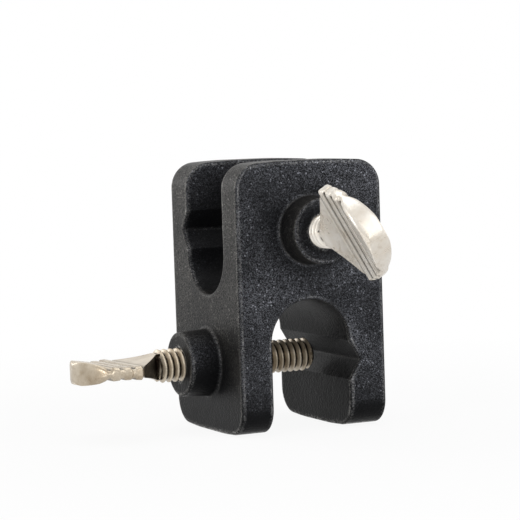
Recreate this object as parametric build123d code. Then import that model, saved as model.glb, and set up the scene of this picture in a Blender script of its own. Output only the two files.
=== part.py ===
from build123d import *
from math import cos, radians, sin
import os

# Boss head clamp: a cast block with a slot across each end, and a thumb screw into each slot.
# Millimetres. The origin is the middle of the footprint, on the plane of the two feet, and +Z is up.
# The lower slot runs along Y and opens down. The upper slot runs along X and opens up.

# Casting, square in plan
body_width = 30.0
body_height = 50.8
outer_edge_radius = 0.45
sole_flat = 12.0  # width of the level part of each end, before its shoulders fall away
sole_drop = 0.5  # how far a shoulder has fallen at the side of the block
sole_blend_radius = 60.0
end_corner_radius = 4.9

# Slots
slot_width = 16.0
boss_wall = 6.5  # wall that the screw goes through; the far wall has the rest of the width
web = 1.0  # metal between the two slots where they cross
slot_rim_radius = 0.4
groove_width = 7.4
groove_depth = 2.2
groove_round = 0.3

# Screw bosses
screw_from_end = 13.0  # screw axis to the end of the block that its slot opens through
boss_height = 5.9
boss_root_diameter = 12.7
boss_face_diameter = 12.1
boss_root_radius = 0.7
boss_rim_radius = 0.4

# Thumb screws
shank_diameter = 6.35
shank_length = 32.5
shank_clearance = 0.05  # on the radius, in the casting's bore
tip_chamfer = 1.0
upper_tip_gap = 1.5  # from the screw's tip to the bottom of the V groove
lower_tip_gap = 3.3
upper_turn = -59.0  # degrees that the thumb piece is turned from level
lower_turn = -1.3

# Thumb piece
blade_length = 16.2
blade_half_width = 9.8
root_half_width = 1.6
rib_band_start = 6.2
rib_band_end = 8.4
tip_shoulder_along = 13.1  # a point on the tip's arc, along the blade and out from its middle
tip_shoulder_out = 6.7
root_half_thickness = 2.5
root_hollow_half_thickness = 1.2  # half-way from the root to the waist
waist_half_thickness = 0.8
tip_hollow_half_thickness = 1.25  # half-way from the waist to the tip
tip_half_thickness = 2.3
waist_along = 9.5
neck_length = 1.6
neck_end_diameter = 5.0
rib_count = 3
rib_pitch = 2.0
rib_width = 1.4
rib_middle_along = 8.7
rib_half_height = 1.3

slot_depth = (body_height - web) / 2
half_width = body_width / 2
near_wall = -half_width + boss_wall  # the lower slot's two walls, along X
far_wall = near_wall + slot_width
groove_mouth = 0.5  # how far the V groove's flanks reach into the slot
overrun = 5.0  # how far a cutter runs past what it cuts
close = 1e-4
turn_over = Axis((0, 0, body_height / 2), (1, 1, 0))


def end_outline():
    """Outline of the block with its rounded end at zero height."""
    outer = half_width
    flat = sole_flat / 2
    corners = [
        (-outer, body_height),
        (-outer, sole_drop),
        (-flat, 0),
        (flat, 0),
        (outer, sole_drop),
        (outer, body_height),
    ]
    outline = make_face(Polyline(*corners, close=True))
    lower = outline.vertices().filter_by(lambda vertex: vertex.Y < body_height / 2)
    blends = lower.filter_by(lambda vertex: abs(vertex.X) < outer - close)
    outline = fillet(blends, sole_blend_radius)
    lower = outline.vertices().filter_by(lambda vertex: vertex.Y < body_height / 2)
    sides = lower.filter_by(lambda vertex: abs(vertex.X) > outer - close)
    return fillet(sides, end_corner_radius)


def flip(shape):
    """Turn a shape of the lower half over, into its place in the upper half."""
    return shape.rotate(turn_over, 180)


def block():
    """The block before it is cut: feet rounded front to back, top rounded left to right."""
    feet_plane = Plane(origin=(0, 0, 0), x_dir=(0, 1, 0), z_dir=(1, 0, 0))
    feet = extrude(feet_plane * end_outline(), half_width, both=True)
    solid = (feet & flip(feet)).solid()
    walls = solid.faces().filter_by(Axis.X) + solid.faces().filter_by(Axis.Y)
    crisp = [edge for edge in solid.edges() if is_crisp(edge, walls)]
    return fillet(crisp, outer_edge_radius).solid()


def is_crisp(edge, walls):
    """True where two flat walls meet, or where a wall meets an end of the block at a right angle."""
    on_walls = [wall for wall in walls if wall.distance_to(edge @ 0.5) < close]
    if len(on_walls) != 1:
        return len(on_walls) == 2
    level = abs(edge.tangent_at(0.5).Z) < close
    in_lower_half = (edge @ 0.5).Z < body_height / 2
    wall_faces_y = abs(on_walls[0].normal_at().Y) > 0.5
    blends_in = level and in_lower_half == wall_faces_y
    return not blends_in


def slot_cutter():
    """The lower slot: straight walls, a half-round end, and a V groove facing the screw."""
    arch_height = slot_depth - slot_width / 2
    straight = Polyline(
        (near_wall, -overrun),
        (near_wall, arch_height),
        (far_wall, arch_height),
        (far_wall, -overrun),
        close=True,
    )
    middle = (near_wall + far_wall) / 2
    flank = groove_width / 2 * (1 + groove_mouth / groove_depth)
    groove = Polyline(
        (middle, screw_from_end - flank),
        (far_wall - groove_mouth, screw_from_end - flank),
        (far_wall + groove_depth, screw_from_end),
        (far_wall - groove_mouth, screw_from_end + flank),
        (middle, screw_from_end + flank),
        close=True,
    )
    arch = Pos(middle, arch_height) * Circle(slot_width / 2)
    outline = (make_face(straight) + arch + make_face(groove)).clean()
    corners = [
        vertex
        for vertex in outline.vertices()
        if vertex.X > near_wall + close and vertex.Y > 0 and abs(vertex.Y - arch_height) > close
    ]
    outline = fillet(corners, groove_round)
    return extrude(Plane.XZ * outline, half_width + overrun, both=True).solid()


def rim_edges(part, outside, cutter):
    """Edges of the part where a cut comes out through the outside of the block."""
    skins = [outside.shell(), cutter.shell()]
    return [
        edge for edge in part.edges() if all(skin.distance_to(edge @ 0.5) < close for skin in skins)
    ]


def boss():
    """The lower boss, standing on the left wall, slightly tapered and with a rounded rim."""
    wall = Plane(origin=(-half_width, 0, screw_from_end), z_dir=(-1, 0, 0))
    taper = Cone(
        boss_root_diameter / 2,
        boss_face_diameter / 2,
        boss_height,
        align=(Align.CENTER, Align.CENTER, Align.MIN),
    )
    rim = taper.edges().sort_by(Axis.Z)[-1]
    return wall.location * fillet(rim, boss_rim_radius)


def bore_cutter():
    """The lower screw's bore, from outside the boss into the slot."""
    start = Plane(origin=(-half_width - boss_height - overrun, 0, screw_from_end), z_dir=(1, 0, 0))
    length = overrun + boss_height + boss_wall + slot_width / 2
    bore = Cylinder(
        shank_diameter / 2 + shank_clearance,
        length,
        align=(Align.CENTER, Align.CENTER, Align.MIN),
    )
    return start.location * bore


def boss_foot(part, place):
    """The edge round the foot of a boss, given the middle of that foot."""
    reach = boss_root_diameter / 2
    rings = part.edges().filter_by(GeomType.CIRCLE)
    return [
        edge
        for edge in rings
        if abs(edge.radius - reach) < close and (edge.arc_center - Vector(place)).length < close
    ]


def clamp_body():
    """The casting: both slots, both bosses and both bores."""
    outside = block()
    cutter = slot_cutter()
    part = outside
    for slot in (cutter, flip(cutter)):
        part = (part - slot).solid()
        part = part.fillet(slot_rim_radius, rim_edges(part, outside, slot))
    part = (part + boss() + flip(boss())).solid()
    lower_foot = (-half_width, 0, screw_from_end)
    upper_foot = (0, -half_width, body_height - screw_from_end)
    for place in (lower_foot, upper_foot):
        part = part.fillet(boss_root_radius, boss_foot(part, place))
    return (part - bore_cutter() - flip(bore_cutter())).solid()


def blade_outline():
    """Flat view of the thumb piece, along +Y from its root: straight flanks and a leaf-shaped tip."""
    flank = Polyline(
        (root_half_width, 0), (blade_half_width, rib_band_start), (blade_half_width, rib_band_end)
    )
    leaf = ThreePointArc(
        (blade_half_width, rib_band_end), (tip_shoulder_out, tip_shoulder_along), (0, blade_length)
    )
    side = flank + leaf
    root = Line((-root_half_width, 0), (root_half_width, 0))
    return make_face(side + mirror(side, about=Plane.YZ) + root)


def blade_profile():
    """Edge view of the thumb piece, along +Y from its root: thick root, thin waist, thick tip."""
    root_curve = ThreePointArc(
        (root_half_thickness, 0),
        (root_hollow_half_thickness, waist_along / 2),
        (waist_half_thickness, waist_along),
    )
    tip_curve = ThreePointArc(
        (waist_half_thickness, waist_along),
        (tip_hollow_half_thickness, (waist_along + blade_length) / 2),
        (tip_half_thickness, blade_length),
    )
    side = root_curve + tip_curve
    root = Line((-root_half_thickness, 0), (root_half_thickness, 0))
    tip = Line((-tip_half_thickness, blade_length), (tip_half_thickness, blade_length))
    return make_face(side + mirror(side, about=Plane.YZ) + root + tip)


def thumb_screw():
    """One screw on the Z axis: shank below zero, thumb piece above, its width along X."""
    outline = extrude(Plane.XZ * blade_outline(), 2 * root_half_thickness, both=True)
    side_view = Plane(origin=(0, 0, 0), x_dir=(0, 1, 0), z_dir=(1, 0, 0))
    profile = extrude(side_view * blade_profile(), 2 * blade_half_width, both=True)
    blade = outline & profile
    for index in range(rib_count):
        along = rib_middle_along + (index - (rib_count - 1) / 2) * rib_pitch
        rib = Pos(0, 0, along) * Box(3 * blade_half_width, 2 * rib_half_height, rib_width)
        blade = blade + (rib & outline)
    shank = Pos(0, 0, -shank_length) * Cylinder(
        shank_diameter / 2, shank_length, align=(Align.CENTER, Align.CENTER, Align.MIN)
    )
    shank = chamfer(shank.edges().sort_by(Axis.Z)[0], tip_chamfer)
    neck = Cone(
        shank_diameter / 2,
        neck_end_diameter / 2,
        neck_length,
        align=(Align.CENTER, Align.CENTER, Align.MIN),
    )
    return (shank + neck + blade).solid()


def screw_place(outward, level, height, tip_gap, turn):
    """Where a screw goes: its tip short of the groove, its thumb piece turned from level."""
    tip = far_wall + groove_depth - tip_gap
    width_way = Vector(*level) * cos(radians(turn)) + Vector(0, 0, 1) * sin(radians(turn))
    root = Vector(*outward) * (shank_length - tip) + Vector(0, 0, height)
    return Plane(origin=root, x_dir=width_way, z_dir=outward).location


upper_height = body_height - screw_from_end
upper_place = screw_place((0, -1, 0), (1, 0, 0), upper_height, upper_tip_gap, upper_turn)
lower_place = screw_place((-1, 0, 0), (0, 1, 0), screw_from_end, lower_tip_gap, lower_turn)

parts = {
    "clamp_body": clamp_body(),
    "upper_thumb_screw": upper_place * thumb_screw(),
    "lower_thumb_screw": lower_place * thumb_screw(),
}

os.makedirs("parts", exist_ok=True)
for name, solid in parts.items():
    export_step(solid, f"parts/{name}.step")
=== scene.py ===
import math

import bpy
from mathutils import Matrix, Quaternion, Vector

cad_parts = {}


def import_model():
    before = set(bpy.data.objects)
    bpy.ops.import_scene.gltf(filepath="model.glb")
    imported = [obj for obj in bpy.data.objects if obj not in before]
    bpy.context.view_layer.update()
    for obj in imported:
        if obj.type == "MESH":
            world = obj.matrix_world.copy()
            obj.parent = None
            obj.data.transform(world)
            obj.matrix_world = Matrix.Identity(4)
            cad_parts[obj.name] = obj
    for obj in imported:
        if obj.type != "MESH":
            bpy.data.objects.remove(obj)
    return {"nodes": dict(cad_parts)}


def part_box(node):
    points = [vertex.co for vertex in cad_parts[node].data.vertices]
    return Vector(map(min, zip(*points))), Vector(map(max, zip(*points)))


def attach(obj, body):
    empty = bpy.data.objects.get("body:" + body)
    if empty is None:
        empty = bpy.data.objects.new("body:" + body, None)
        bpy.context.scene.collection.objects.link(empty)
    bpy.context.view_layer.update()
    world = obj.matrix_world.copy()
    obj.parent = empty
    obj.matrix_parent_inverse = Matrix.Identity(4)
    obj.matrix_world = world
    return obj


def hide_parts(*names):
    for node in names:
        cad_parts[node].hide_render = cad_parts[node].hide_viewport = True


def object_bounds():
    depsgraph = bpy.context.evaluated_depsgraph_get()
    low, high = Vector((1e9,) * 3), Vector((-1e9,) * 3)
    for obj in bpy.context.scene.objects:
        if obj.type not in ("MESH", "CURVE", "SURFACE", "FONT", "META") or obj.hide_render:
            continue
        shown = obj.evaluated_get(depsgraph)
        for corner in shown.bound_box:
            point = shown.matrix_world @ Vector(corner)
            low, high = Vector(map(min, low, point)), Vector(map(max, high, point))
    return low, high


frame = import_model()
cad_box = [list(corner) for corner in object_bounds()]

MM = 0.001
WHITE = (1, 1, 1, 1)
UP = (0, 0, 1)
OCCLUSION_SAMPLES = 8

# Camera, in degrees and millimetres.
LENS = 149.8
SENSOR_WIDTH = 36.0
CAMERA_AZIMUTH = -25.26
CAMERA_ELEVATION = 3.82
CAMERA_ROLL = -1.88
CAMERA_TARGET = (-3.15, 0.5, 31.66)
CAMERA_DISTANCE = 413.85

# Studio, in metres.
WORLD_LIGHT = 0.5
LIGHT_TARGET = (0, 0, 0.03)
FLOOR_SIZE = 6.0
FLOOR_GAP = 0.0001  # between the floor and the feet, so that their faces don't coincide
FLOOR_COLOUR = (0.8, 0.8, 0.8, 1)
SHADOW_START = 0.05  # from the middle, where the shadow starts to fade
SHADOW_END = 0.16  # and where it is gone
GLOW_UNDER_SHADOW = 0.92  # share of plain white in the floor near the object

# Powder coat: pattern scales for each metre, distances in metres, and colours.
FINE_GRAINS = 7400.0
BRIGHT_GRAINS = 4600.0
GRAIN_SCALE = 2600.0
RIPPLE_SCALE = 900.0
CLOUD_SCALE = 70.0
FINE_STRENGTH = 0.46
BRIGHT_FROM = 0.97  # only the few grains above this chance are bright
BRIGHT_STRENGTH = 0.8
OPEN_AIR_REACH = 0.025
DEEP_SHARE = 0.04  # of the grains' shine, kept deep in the slots as painted shade
SIDE_FACE_SHARE = 0.7  # likewise, on the faces that don't look along Y, as a painted duller sheen
EDGE_REACH = 0.002
CORNER_REACH = 0.001
CORNER_STRENGTH = 0.6  # of the painted highlight in inner corners
RIPPLE_SHARE = 0.35  # of the relief
COAT_BUMP = 0.00011
COAT_GLOSS = 0.05  # specular level of the paint between the grains
# flake colours by which way a face looks: a warmer painted sheen on faces along X and Z, a bluer
# painted sheen on faces along Y
SIDE_FLAKES_PAINTED_SHEEN = (0.31, 0.295, 0.27, 1)
FRONT_FLAKES_PAINTED_SHEEN = (0.27, 0.28, 0.315, 1)
DEEP_PAINT = (0.0025, 0.0028, 0.0036, 1)
PALE_PAINT = (0.006, 0.006, 0.0062, 1)
# bare metal of the worn edges, also used for their painted highlight and for the painted highlight
# in inner corners
WEAR_AND_HIGHLIGHT_METAL = (0.62, 0.61, 0.59, 1)

# Nickel plate, likewise. The lower screw gets a darker copy of the upper one's plate.
PLATE_CLOUDS = 260.0
PLATE_STAINS = 420.0
STAIN_STRENGTH = 0.45
PAINTED_SHADE_ROUGHNESS = 0.1  # added where the painted shade is full
PLATE_BUMP = 0.00003
STAIN = (0.42, 0.32, 0.2, 1)
# near-black colour of the painted shade in the screws' hollows and of the dark thumb-piece roots
PAINTED_SHADE_COLOUR = (0.012, 0.008, 0.005, 1)
BRIGHT_DEEP = (0.86, 0.78, 0.67, 1)
BRIGHT_PALE = (0.96, 0.91, 0.83, 1)
DULL_DEEP = (0.46, 0.37, 0.26, 1)
DULL_PALE = (0.70, 0.61, 0.48, 1)

# Thumb screw, in millimetres: the shank is below zero on its own axis, the thumb piece above.
THREAD_RADIUS = 3.16
THREAD_DEPTH = 0.68
THREAD_PITCH = 1.27
THREAD_END = -0.3
THREAD_ROWS = 14  # rows of vertices in one pitch
THREAD_SEGMENTS = 72
CREST_SHARE = 0.07  # half of the crest's flat top, as a share of the pitch
FLANK_SHARE = 0.31  # likewise, of the flank down to the valley
VALLEY_POWER = 4  # how closely the painted shade keeps to the valley
TIP_CHAMFER = 1.0
END_CHAMFER = 0.5
NECK_START = -1.0  # inside the end of the thread
BLADE_LENGTH = 16.2
BLADE_HALF_WIDTH = 9.75
LEAF_HALF_WIDTH = 9.5  # where the leaf-shaped tip starts, just beyond the ribs
LEAF_START = 8.0
LEAF_POWER = 1.75
FLANK_END = 6.2  # the thumb piece widens from its root to here
ROOT_HALF_WIDTH = 1.6
ROOT_HALF_THICKNESS = 2.45
ROOT_POWER = 2.2  # of the curve from the root to the waist
WAIST_HALF_THICKNESS = 0.85
WAIST_ALONG = 9.5
TIP_HALF_THICKNESS = 2.25
TIP_POWER = 1.6  # of the curve from the waist to the tip
ROOT_CORNER = 0.3
ROOT_CORNER_END = 5.7  # from here the corner grows towards the ribs
RIB_CORNER = 0.8
TIP_CORNER = 0.95
RIB_MIDDLES = (6.7, 8.7, 10.7)
RIB_HALF_WIDTH = 0.7
RIB_HEIGHT = 0.34
RIB_POWER = 6  # the higher, the squarer
OUTER_GROOVE_DEPTH = 0.36
OUTER_GROOVE_OFFSET = 3.05  # from the middle rib
OUTER_GROOVE_WIDTH = 0.4
DOME = 0.38  # how much thicker the tip is in its middle, as a share
DOME_START = 1.2  # beyond the middle of the last rib
DOME_RISE = 1.2
DOME_FADE = 3.0  # before the end of the tip
UPPER_TURN = -59.0  # degrees
LOWER_TURN = -1.3
SHARP_ANGLE = 50.0

# Rings of vertices along the thumb piece: coarse at the root, close at the ribs.
ROOT_RINGS = 12
ROOT_STEP = 0.4
RIB_RINGS = 111
RIB_STEP = 0.07
RIB_RINGS_START = 4.8
LEAF_RINGS = 40
LAST_RING_GAP = 0.004  # before the end of the tip, where the width is zero
LONG_SIDE_STEPS = 14  # in a quarter of a ring
SHORT_SIDE_STEPS = 4
CORNER_STEPS = 6
CORNER_SHARE = 0.999  # of a corner's radius, so that no points coincide

# Painted shade on the thumb piece, from 0 to 1, and where the dark root, a painted reflection of
# the black casting, ends.
GAP_PAINTED_SHADE = 0.92
SIDE_PAINTED_SHADE = 0.22
DARK_ROOT_END = 5.2
DARK_ROOT_FADE = 1.0
SIDE_SHARE = 0.7  # of the corner's radius that counts as the side


def clamp(value):
    """The value, kept between 0 and 1."""
    return min(max(value, 0.0), 1.0)


def camera():
    """A long lens at the photograph's viewing angle."""
    data = bpy.data.cameras.new("camera")
    data.lens = LENS
    data.sensor_width = SENSOR_WIDTH
    data.clip_start = 0.01
    data.clip_end = 20.0
    item = bpy.data.objects.new("camera", data)
    azimuth = math.radians(CAMERA_AZIMUTH)
    elevation = math.radians(CAMERA_ELEVATION)
    roll = math.radians(CAMERA_ROLL)
    back = Vector(
        (
            math.sin(azimuth) * math.cos(elevation),
            -math.cos(azimuth) * math.cos(elevation),
            math.sin(elevation),
        )
    )
    item.location = Vector(CAMERA_TARGET) * MM + back * CAMERA_DISTANCE * MM
    item.rotation_mode = "QUATERNION"
    item.rotation_quaternion = back.to_track_quat("Z", "Y") @ Quaternion((0, 0, 1), roll)
    bpy.context.collection.objects.link(item)
    bpy.context.scene.camera = item


def softbox(name, place, size, power):
    """A white rectangular lamp that faces the object."""
    data = bpy.data.lights.new(name, "AREA")
    data.shape = "RECTANGLE"
    data.size, data.size_y = size
    data.energy = power
    item = bpy.data.objects.new(name, data)
    item.location = place
    aim = Vector(LIGHT_TARGET) - Vector(place)
    item.rotation_mode = "QUATERNION"
    item.rotation_quaternion = aim.to_track_quat("-Z", "Y")
    bpy.context.collection.objects.link(item)


class Nodes:
    """A node tree with short calls for adding and joining nodes."""

    def __init__(self, tree):
        self.tree = tree
        tree.nodes.clear()

    def add(self, kind, inputs=None, **settings):
        """Add a node; each of its inputs gets a value or another node's output."""
        node = self.tree.nodes.new(kind)
        for name, value in settings.items():
            setattr(node, name, value)
        for name, value in (inputs or {}).items():
            if isinstance(value, bpy.types.NodeSocket):
                self.tree.links.new(value, node.inputs[name])
            else:
                node.inputs[name].default_value = value
        return node

    def math(self, operation, first, second=0.0):
        """The result of one operation on one or two values."""
        return self.add("ShaderNodeMath", {0: first, 1: second}, operation=operation).outputs[0]

    def seen_directly(self):
        """1 on camera, glossy and transmission rays, 0 on the rays that light the object."""
        path = self.add("ShaderNodeLightPath").outputs
        sharp = self.math("MAXIMUM", path["Is Camera Ray"], path["Is Glossy Ray"])
        return self.math("MAXIMUM", sharp, path["Is Transmission Ray"])

    def noise(self, place, scale, detail=2.0, roughness=0.5):
        """Smooth random values over the surface."""
        inputs = {"Vector": place, "Scale": scale, "Detail": detail, "Roughness": roughness}
        return self.add("ShaderNodeTexNoise", inputs).outputs["Fac"]

    def chance(self, place, scale):
        """A random value for each small cell of the surface."""
        cells = self.add("ShaderNodeTexVoronoi", {"Vector": place, "Scale": scale}, feature="F1")
        return self.add("ShaderNodeSeparateColor", {0: cells.outputs["Color"]}).outputs[0]

    def ramp(self, value, low, high, start=0.0, end=1.0):
        """The value's way from low to high, turned into one from start to end."""
        inputs = {"Value": value, "From Min": low, "From Max": high, "To Min": start, "To Max": end}
        return self.add("ShaderNodeMapRange", inputs).outputs["Result"]

    def blend(self, share, first, second):
        """A colour between two colours; each is a colour or another node's output."""
        node = self.add("ShaderNodeMix", {0: share, 6: first, 7: second}, data_type="RGBA")
        return node.outputs[2]


def new_material(name):
    """An empty material, and its nodes."""
    material = bpy.data.materials.new(name)
    material.use_nodes = True
    return material, Nodes(material.node_tree)


def world():
    """Even studio light, seen as white behind the object and in its reflections."""
    item = bpy.data.worlds.new("studio")
    item.use_nodes = True
    bpy.context.scene.world = item
    nodes = Nodes(item.node_tree)
    studio = nodes.add("ShaderNodeBackground", {"Color": WHITE, "Strength": WORLD_LIGHT})
    white = nodes.add("ShaderNodeBackground", {"Color": WHITE, "Strength": 1.0})
    inputs = {0: nodes.seen_directly(), 1: studio.outputs[0], 2: white.outputs[0]}
    mixed = nodes.add("ShaderNodeMixShader", inputs)
    nodes.add("ShaderNodeOutputWorld", {"Surface": mixed.outputs[0]})


def floor():
    """A pale floor that shows as white, with the object's soft shadow near it."""
    bpy.ops.mesh.primitive_plane_add(size=FLOOR_SIZE, location=(0, 0, cad_box[0][2] - FLOOR_GAP))
    item = bpy.context.object
    item.name = "floor"
    material, nodes = new_material("pale_floor")
    paper = nodes.add("ShaderNodeBsdfDiffuse", {"Color": FLOOR_COLOUR})
    glow = nodes.add("ShaderNodeEmission", {"Color": WHITE, "Strength": 1.0})
    place = nodes.add("ShaderNodeTexCoord").outputs["Object"]
    away = nodes.add("ShaderNodeVectorMath", {0: place}, operation="LENGTH").outputs["Value"]
    whiteness = nodes.ramp(away, SHADOW_START, SHADOW_END, GLOW_UNDER_SHADOW, 1.0)
    share = nodes.math("MULTIPLY", nodes.seen_directly(), whiteness)
    mixed = nodes.add("ShaderNodeMixShader", {0: share, 1: paper.outputs[0], 2: glow.outputs[0]})
    nodes.add("ShaderNodeOutputMaterial", {"Surface": mixed.outputs[0]})
    item.data.materials.append(material)


def painted_grain_light(nodes, front):
    """How much the grains shine at a place: less in the slots and at the bosses' feet, as painted
    shade, and less on faces that don't look along Y, as a painted duller sheen.
    """
    around = nodes.add(
        "ShaderNodeAmbientOcclusion",
        {"Distance": OPEN_AIR_REACH},
        samples=OCCLUSION_SAMPLES,
    )
    # painted shade: the grains shine less where little open air is around
    open_air = nodes.ramp(around.outputs["AO"], 0.56, 0.9, DEEP_SHARE)
    turned = nodes.ramp(front, 0.0, 1.0, SIDE_FACE_SHARE)
    return nodes.math("MULTIPLY", turned, open_air)


def glitter(nodes, place, clouds):
    """The shining grains: many faint ones and a few bright ones, stronger in some patches."""
    fine = nodes.math("POWER", nodes.chance(place, FINE_GRAINS), 2.0)
    bright = nodes.ramp(nodes.chance(place, BRIGHT_GRAINS), BRIGHT_FROM, 1.0, 0.0, BRIGHT_STRENGTH)
    grains = nodes.math("ADD", nodes.math("MULTIPLY", fine, FINE_STRENGTH), bright)
    return nodes.math("MULTIPLY", grains, nodes.ramp(clouds, 0.38, 0.62, 0.5, 1.2))


def edge_wear_and_highlight(nodes, grain, ripple):
    """Broken lines of bare metal on the outer edges, partly wear and partly a painted highlight,
    and fainter painted highlights in the inner corners.
    """
    solid = nodes.add(
        "ShaderNodeAmbientOcclusion",
        {"Distance": EDGE_REACH},
        inside=True,
        samples=OCCLUSION_SAMPLES,
    )
    edge = nodes.ramp(solid.outputs["AO"], 0.63, 0.54)
    # painted highlight along the inner corners, such as the bosses' feet
    hollow = nodes.add(
        "ShaderNodeAmbientOcclusion",
        {"Distance": CORNER_REACH},
        samples=OCCLUSION_SAMPLES,
    )
    corner = nodes.ramp(hollow.outputs["AO"], 0.8, 0.62, 0.0, CORNER_STRENGTH)
    line = nodes.math("MAXIMUM", edge, corner)
    fine = nodes.ramp(grain, 0.4, 0.6, 0.05, 0.75)
    coarse = nodes.ramp(ripple, 0.4, 0.6, 0.4)
    return nodes.math("MULTIPLY", line, nodes.math("MULTIPLY", fine, coarse))


def powder_coat():
    """Black fine-textured powder coat: dark paint, shining grains with painted shade in the slots
    and a painted sheen that differs by face, and worn edges that are partly a painted highlight.
    """
    material, nodes = new_material("black_powder_coat")
    place = nodes.add("ShaderNodeTexCoord").outputs["Object"]
    normal = nodes.add("ShaderNodeNewGeometry").outputs["Normal"]
    facing = nodes.add("ShaderNodeSeparateXYZ", {0: normal}).outputs["Y"]
    # share of a face that looks along Y, which gets the bluer painted sheen and the fuller glitter
    front = nodes.ramp(nodes.math("ABSOLUTE", facing), 0.2, 0.9)
    grain = nodes.noise(place, GRAIN_SCALE, 2.0, 0.6)
    ripple = nodes.noise(place, RIPPLE_SCALE, 2.0)
    clouds = nodes.noise(place, CLOUD_SCALE, 3.0, 0.6)
    # worn edges that are partly a painted highlight, and painted highlights in the inner corners
    wear_and_highlight = edge_wear_and_highlight(nodes, grain, ripple)
    # grains dimmed by painted shade in the slots and by a painted duller sheen on side faces
    grains = nodes.math("MULTIPLY", glitter(nodes, place, clouds), painted_grain_light(nodes, front))
    shine = nodes.math("MINIMUM", nodes.math("ADD", grains, wear_and_highlight), 1.0)
    # painted sheen: bluer flakes on faces along Y, warmer ones on the others
    flakes = nodes.blend(front, SIDE_FLAKES_PAINTED_SHEEN, FRONT_FLAKES_PAINTED_SHEEN)
    paint = nodes.blend(clouds, DEEP_PAINT, PALE_PAINT)
    relief = nodes.math("ADD", grain, nodes.math("MULTIPLY", ripple, RIPPLE_SHARE))
    bump = nodes.add("ShaderNodeBump", {"Height": relief, "Strength": 1.0, "Distance": COAT_BUMP})
    surface = {
        "Base Color": nodes.blend(wear_and_highlight, nodes.blend(shine, paint, flakes), WEAR_AND_HIGHLIGHT_METAL),
        "Metallic": shine,
        "Roughness": nodes.ramp(clouds, 0.3, 0.7, 0.3, 0.42),
        "Specular IOR Level": COAT_GLOSS,
        "Normal": bump.outputs["Normal"],
    }
    shader = nodes.add("ShaderNodeBsdfPrincipled", surface)
    nodes.add("ShaderNodeOutputMaterial", {"Surface": shader.outputs[0]})
    return material


def nickel(name, deep, pale):
    """Warm satin nickel plate, with near-black painted shade in the hollows and faint cloudy
    stains.
    """
    material, nodes = new_material(name)
    place = nodes.add("ShaderNodeTexCoord").outputs["Object"]
    clouds = nodes.noise(place, PLATE_CLOUDS, 4.0, 0.6)
    grain = nodes.noise(place, GRAIN_SCALE, 3.0)
    blotches = nodes.noise(place, PLATE_STAINS, 5.0, 0.65)
    stain = nodes.ramp(blotches, 0.56, 0.7, 0.0, STAIN_STRENGTH)
    # painted shade, from 0 to 1, read from the screw's vertices
    painted_shade = nodes.add("ShaderNodeAttribute", attribute_name="painted_shade").outputs["Fac"]
    plate = nodes.blend(nodes.ramp(clouds, 0.35, 0.6), deep, pale)
    stained = nodes.blend(stain, plate, STAIN)
    patchy = nodes.math("MULTIPLY", painted_shade, nodes.ramp(grain, 0.3, 0.6, 0.93, 1.05))
    smooth = nodes.ramp(clouds, 0.3, 0.7, 0.24, 0.36)
    bump = nodes.add("ShaderNodeBump", {"Height": grain, "Strength": 0.35, "Distance": PLATE_BUMP})
    surface = {
        "Base Color": nodes.blend(patchy, stained, PAINTED_SHADE_COLOUR),
        "Metallic": nodes.ramp(painted_shade, 0.1, 0.7, 0.4, 1.0),
        "Roughness": nodes.math("ADD", smooth, nodes.math("MULTIPLY", painted_shade, PAINTED_SHADE_ROUGHNESS)),
        "Normal": bump.outputs["Normal"],
    }
    shader = nodes.add("ShaderNodeBsdfPrincipled", surface)
    nodes.add("ShaderNodeOutputMaterial", {"Surface": shader.outputs[0]})
    return material


def tube_faces(rows, segments, start):
    """Quads of a closed tube of rings, and a cap at each end."""
    faces = [tuple(start + i for i in reversed(range(segments)))]
    for row in range(rows - 1):
        for i in range(segments):
            j = (i + 1) % segments
            low, high = start + row * segments, start + (row + 1) * segments
            faces.append((low + i, low + j, high + j, high + i))
    faces.append(tuple(start + (rows - 1) * segments + i for i in range(segments)))
    return faces


def thread_fall(along, turn):
    """0 on a crest of the thread and 1 in its valley."""
    from_crest = abs((along / THREAD_PITCH - turn) % 1.0 - 0.5)
    return clamp((from_crest - CREST_SHARE) / FLANK_SHARE)


def thread_radius(along, turn, tip):
    """Radius of the threaded shank at a height and a share of a turn."""
    fall = thread_fall(along, turn)
    rounded = 0.5 - 0.5 * math.cos(math.pi * fall)
    radius = THREAD_RADIUS - THREAD_DEPTH * (0.5 * fall + 0.5 * rounded)
    at_tip = THREAD_RADIUS - TIP_CHAMFER + (along - tip)
    at_end = THREAD_RADIUS - END_CHAMFER + (THREAD_END - along)
    return min(radius, at_tip, at_end)


def shank(tip):
    """The threaded shank, as rings of vertices with painted shade in its valleys."""
    step = THREAD_PITCH / THREAD_ROWS
    count = round((THREAD_END - tip) / step)
    points = []
    painted_shade = []
    for row in range(count + 1):
        along = tip + (THREAD_END - tip) * row / count
        for i in range(THREAD_SEGMENTS):
            turn = i / THREAD_SEGMENTS
            radius = thread_radius(along, turn, tip)
            angle = 2 * math.pi * turn
            points.append((radius * math.cos(angle), radius * math.sin(angle), along))
            # painted shade, strongest in the thread's valleys
            painted_shade.append(thread_fall(along, turn) ** VALLEY_POWER)
    return points, tube_faces(count + 1, THREAD_SEGMENTS, 0), painted_shade


def half_width(along):
    """Half the thumb piece's width at a distance from its root."""
    if along <= FLANK_END:
        share = max(along, 0) / FLANK_END
        return ROOT_HALF_WIDTH + (BLADE_HALF_WIDTH - ROOT_HALF_WIDTH) * share
    if along <= LEAF_START:
        return BLADE_HALF_WIDTH
    share = (along - LEAF_START) / (BLADE_LENGTH - LEAF_START)
    return LEAF_HALF_WIDTH * max(1 - share**LEAF_POWER, 0.0) ** (1 / LEAF_POWER)


def rib_rise(along):
    """How far the ribs stand up at a distance from the root, from 0 to 1."""
    away = min(abs(along - middle) for middle in RIB_MIDDLES) / RIB_HALF_WIDTH
    return max(0.0, 1 - away**RIB_POWER) ** 0.5


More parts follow.
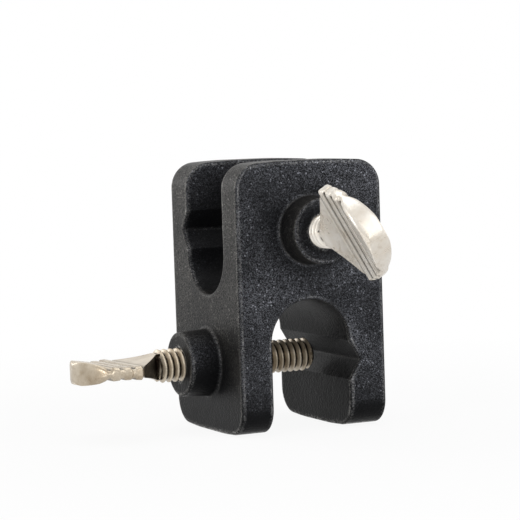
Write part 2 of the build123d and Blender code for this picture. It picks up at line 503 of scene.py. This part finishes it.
def outer_groove(along):
    """The shallow grooves on each side of the ribs, 1 at their deepest."""
    away = abs(abs(along - RIB_MIDDLES[1]) - OUTER_GROOVE_OFFSET)
    return math.exp(-((away / OUTER_GROOVE_WIDTH) ** 2))


def half_thickness(along):
    """Half the thumb piece's thickness: thick root, thin waist under the ribs, thick tip."""
    if along < WAIST_ALONG:
        share = 1 - max(along, 0) / WAIST_ALONG
        extra = (ROOT_HALF_THICKNESS - WAIST_HALF_THICKNESS) * share**ROOT_POWER
    else:
        share = (along - WAIST_ALONG) / (BLADE_LENGTH - WAIST_ALONG)
        extra = (TIP_HALF_THICKNESS - WAIST_HALF_THICKNESS) * share**TIP_POWER
    base = WAIST_HALF_THICKNESS + extra
    base += RIB_HEIGHT * rib_rise(along) - OUTER_GROOVE_DEPTH * outer_groove(along)
    to_tip = BLADE_LENGTH - along
    if to_tip < TIP_CORNER:
        base -= TIP_CORNER - math.sqrt(TIP_CORNER**2 - (TIP_CORNER - to_tip) ** 2)
    return base


def corner_radius(along):
    """Radius of the thumb piece's long edges: crisp at the root and soft on the tip."""
    if along < RIB_MIDDLES[0]:
        share = clamp((along - ROOT_CORNER_END) / (RIB_MIDDLES[0] - ROOT_CORNER_END))
        return ROOT_CORNER + (RIB_CORNER - ROOT_CORNER) * share
    share = clamp((along - RIB_MIDDLES[0]) / (RIB_MIDDLES[2] - RIB_MIDDLES[0]))
    return RIB_CORNER + (TIP_CORNER - RIB_CORNER) * share


def section(width, thickness, corner):
    """A rounded rectangle round the axis, as pairs of distances across and through."""
    corner = min(corner, width, thickness) * CORNER_SHARE
    straight = thickness - corner
    quarter = [(width, straight * i / SHORT_SIDE_STEPS) for i in range(SHORT_SIDE_STEPS)]
    for i in range(CORNER_STEPS):
        angle = math.pi / 2 * i / CORNER_STEPS
        across = width - corner + corner * math.cos(angle)
        quarter.append((across, straight + corner * math.sin(angle)))
    for i in range(LONG_SIDE_STEPS):
        quarter.append(((width - corner) * (1 - i / LONG_SIDE_STEPS), thickness))
    mirrored = [(-a, b) for a, b in reversed([*quarter[1:], (0.0, thickness)])]
    upper = quarter + mirrored
    lower = [(-a, -b) for a, b in upper]
    return upper + lower


def dome(along, across):
    """How much thicker the tip is near its middle line, where it rises from the ribs."""
    rise = clamp((along - RIB_MIDDLES[2] - DOME_START) / DOME_RISE)
    fade = clamp((BLADE_LENGTH - along) / DOME_FADE)
    middle = 1 - (across / BLADE_HALF_WIDTH) ** 2
    return 1 + DOME * rise * fade * middle


def blade_stations():
    """Distances from the root at which the thumb piece has a ring, closer at the ribs and tip."""
    root = [NECK_START] + [ROOT_STEP * i for i in range(ROOT_RINGS)]
    ribs = [RIB_RINGS_START + RIB_STEP * i for i in range(RIB_RINGS)]
    last = ribs[-1]
    leaf = []
    for i in range(1, LEAF_RINGS + 1):
        angle = math.pi / 2 * i / LEAF_RINGS
        leaf.append(last + (BLADE_LENGTH - LAST_RING_GAP - last) * math.sin(angle))
    return root + ribs + leaf


def painted_shade_on_blade(along, across):
    """Painted shade between the ribs, a painted reflection of the black casting on the sides near
    the root, and faint painted shade on the other sides.
    """
    in_band = RIB_MIDDLES[0] < along < RIB_MIDDLES[2]
    gap = 1 - rib_rise(along) if in_band else outer_groove(along)
    on_side = abs(across) > half_width(along) - SIDE_SHARE * corner_radius(along)
    if not on_side:
        return GAP_PAINTED_SHADE * math.sqrt(gap)
    # the dark root: a painted reflection of the black casting
    near_root = clamp(1 - (along - DARK_ROOT_END) / DARK_ROOT_FADE)
    return max(near_root, SIDE_PAINTED_SHADE)


def blade(start):
    """The thumb piece and its neck, as rings of vertices with their painted shade."""
    points = []
    painted_shade = []
    stations = blade_stations()
    for along in stations:
        ring = section(half_width(along), half_thickness(along), corner_radius(along))
        for across, through in ring:
            points.append((across, through * dome(along, across), along))
        painted_shade += [painted_shade_on_blade(along, across) for across, through in ring]
    return points, tube_faces(len(stations), len(points) // len(stations), start), painted_shade


def screw_root(node, outward):
    """Where a screw's thumb piece starts, and how far along its axis its tip is from there."""
    low, high = (Vector(corner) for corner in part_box(node))
    middle = (low + high) / 2
    length = abs((high - low).dot(outward)) / MM
    far = max((low - middle).dot(outward), (high - middle).dot(outward))
    return middle + outward * (far - BLADE_LENGTH * MM), BLADE_LENGTH - length


def screw(node, body, outward, level, turn, material):
    """A detailed thumb screw in the place of its CAD node."""
    outward, level = Vector(outward), Vector(level)
    root, tip = screw_root(node, outward)
    angle = math.radians(turn)
    width_way = level * math.cos(angle) + Vector(UP) * math.sin(angle)
    through_way = outward.cross(width_way)
    axes = Matrix((width_way, through_way, outward)).transposed()
    shank_points, shank_faces, shank_painted_shade = shank(tip)
    blade_points, blade_faces, blade_painted_shade = blade(len(shank_points))
    points = [root + axes @ (Vector(p) * MM) for p in shank_points + blade_points]
    mesh = bpy.data.meshes.new(node + "_detail")
    mesh.from_pydata([tuple(p) for p in points], [], shank_faces + blade_faces)
    # painted shade, from 0 to 1, for each vertex
    painted_shade = mesh.attributes.new("painted_shade", "FLOAT", "POINT")
    painted_shade.data.foreach_set("value", shank_painted_shade + blade_painted_shade)
    mesh.shade_smooth()
    mesh.set_sharp_from_angle(angle=math.radians(SHARP_ANGLE))
    mesh.materials.append(material)
    item = bpy.data.objects.new(node + "_detail", mesh)
    bpy.context.collection.objects.link(item)
    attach(item, body)
    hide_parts(node)


def dress(node, material):
    """Give a CAD node its material."""
    item = frame["nodes"][node]
    item.data.materials.clear()
    item.data.materials.append(material)


bpy.context.scene.view_settings.view_transform = "Standard"
camera()
world()
floor()
softbox("top", (-0.1, -0.1, 0.95), (0.6, 0.6), 2.6)
softbox("left_strip", (-0.85, -0.42, 0.12), (0.1, 0.5), 3.0)
softbox("front_right", (0.5, -0.85, 0.3), (0.8, 0.8), 3.6)
softbox("back_left", (-0.42, 0.85, 0.25), (0.35, 0.35), 1.2)
bright_plate = nickel("bright_nickel", BRIGHT_DEEP, BRIGHT_PALE)
# the same plate, darker, for the lower screw
dull_plate = nickel("darker_nickel", DULL_DEEP, DULL_PALE)
dress("clamp_body", powder_coat())
screw("upper_thumb_screw", "upper_screw", (0, -1, 0), (1, 0, 0), UPPER_TURN, bright_plate)
screw("lower_thumb_screw", "lower_screw", (-1, 0, 0), (0, 1, 0), LOWER_TURN, dull_plate)
